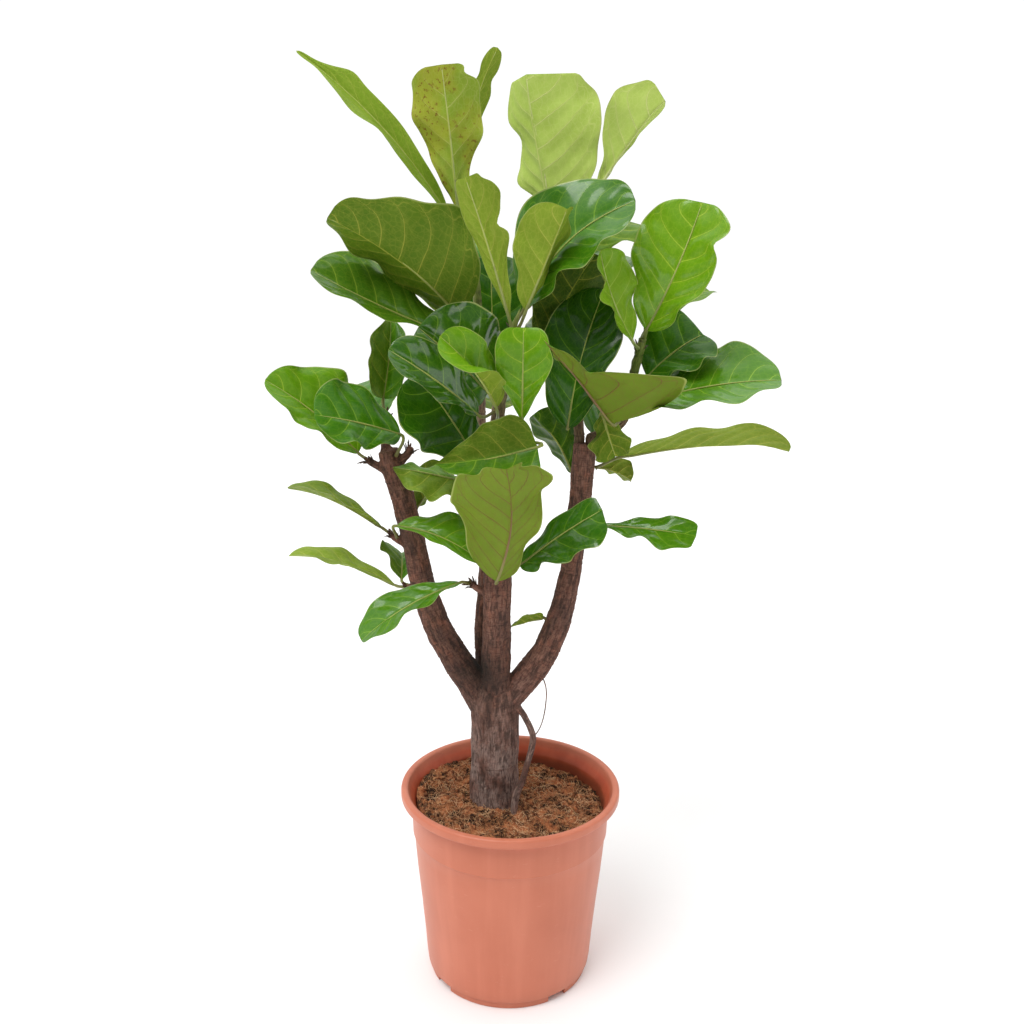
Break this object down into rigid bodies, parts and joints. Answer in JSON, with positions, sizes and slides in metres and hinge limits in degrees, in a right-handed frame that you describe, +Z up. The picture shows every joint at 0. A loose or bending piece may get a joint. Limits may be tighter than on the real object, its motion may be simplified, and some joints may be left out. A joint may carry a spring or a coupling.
{
  "type": "potted fiddle leaf fig",
  "caption": "Potted fiddle leaf fig: a pruned trunk with branching limbs, leafy shoots and broad waisted leaves, in a round tapered nursery pot of soil.",
  "frame": {"origin": "middle of the pot's flat underside, on the surface that the pot stands on", "axes": "+Z up along the trunk, -Y towards the viewer that the foliage is arranged for, +X to that viewer's right"},
  "size_m": [0.6, 0.4655, 1.105],
  "materials": {
    "pot_plastic": "matte moulded polypropylene, terracotta red",
    "soil": "loose moist peat and coir with golden fibres",
    "bark": "rough grey-brown bark with upright furrows",
    "shoot_bark": "young brown-green bark with leaf scars",
    "leaf_mature": "glossy dark green above with pale veins, matt olive below",
    "leaf_young": "satin yellow-green above with pale veins, matt pale green below"
  },
  "bodies": {
    "root": {"pot": "pot_plastic", "soil": "soil", "trunk": "bark", "left_shoot": "shoot_bark", "back_shoot": "shoot_bark", "centre_shoot": "shoot_bark", "top_shoot": "shoot_bark", "right_shoot": "shoot_bark", "leaf_01": "leaf_young", "leaf_02": "leaf_young", "leaf_03": "leaf_young", "leaf_04": "leaf_mature", "leaf_05": "leaf_mature", "leaf_06": "leaf_mature", "leaf_07": "leaf_young", "leaf_08": "leaf_mature", "leaf_09": "leaf_young", "leaf_10": "leaf_young", "leaf_11": "leaf_young", "leaf_12": "leaf_mature", "leaf_13": "leaf_mature", "leaf_14": "leaf_mature", "leaf_15": "leaf_mature", "leaf_16": "leaf_mature", "leaf_17": "leaf_young", "leaf_18": "leaf_young", "leaf_19": "leaf_mature", "leaf_20": "leaf_mature", "leaf_21": "leaf_mature", "leaf_22": "leaf_young", "leaf_23": "leaf_young", "leaf_24": "leaf_mature", "leaf_25": "leaf_mature", "leaf_26": "leaf_mature", "leaf_27": "leaf_mature", "leaf_28": "leaf_mature", "leaf_29": "leaf_mature", "leaf_30": "leaf_mature", "leaf_31": "leaf_mature", "leaf_32": "leaf_mature", "leaf_33": "leaf_mature", "leaf_34": "leaf_mature", "leaf_35": "leaf_mature", "leaf_36": "leaf_mature", "leaf_37": "leaf_mature", "leaf_38": "leaf_mature", "leaf_39": "leaf_mature", "leaf_40": "leaf_mature", "leaf_41": "leaf_mature", "leaf_42": "leaf_mature", "leaf_43": "leaf_mature", "leaf_44": "leaf_mature", "leaf_45": "leaf_mature", "leaf_46": "leaf_mature", "leaf_47": "leaf_mature", "leaf_48": "leaf_mature", "leaf_49": "leaf_mature", "leaf_50": "leaf_mature", "leaf_51": "leaf_mature", "leaf_52": "leaf_mature"}
  },
  "joints": []
}
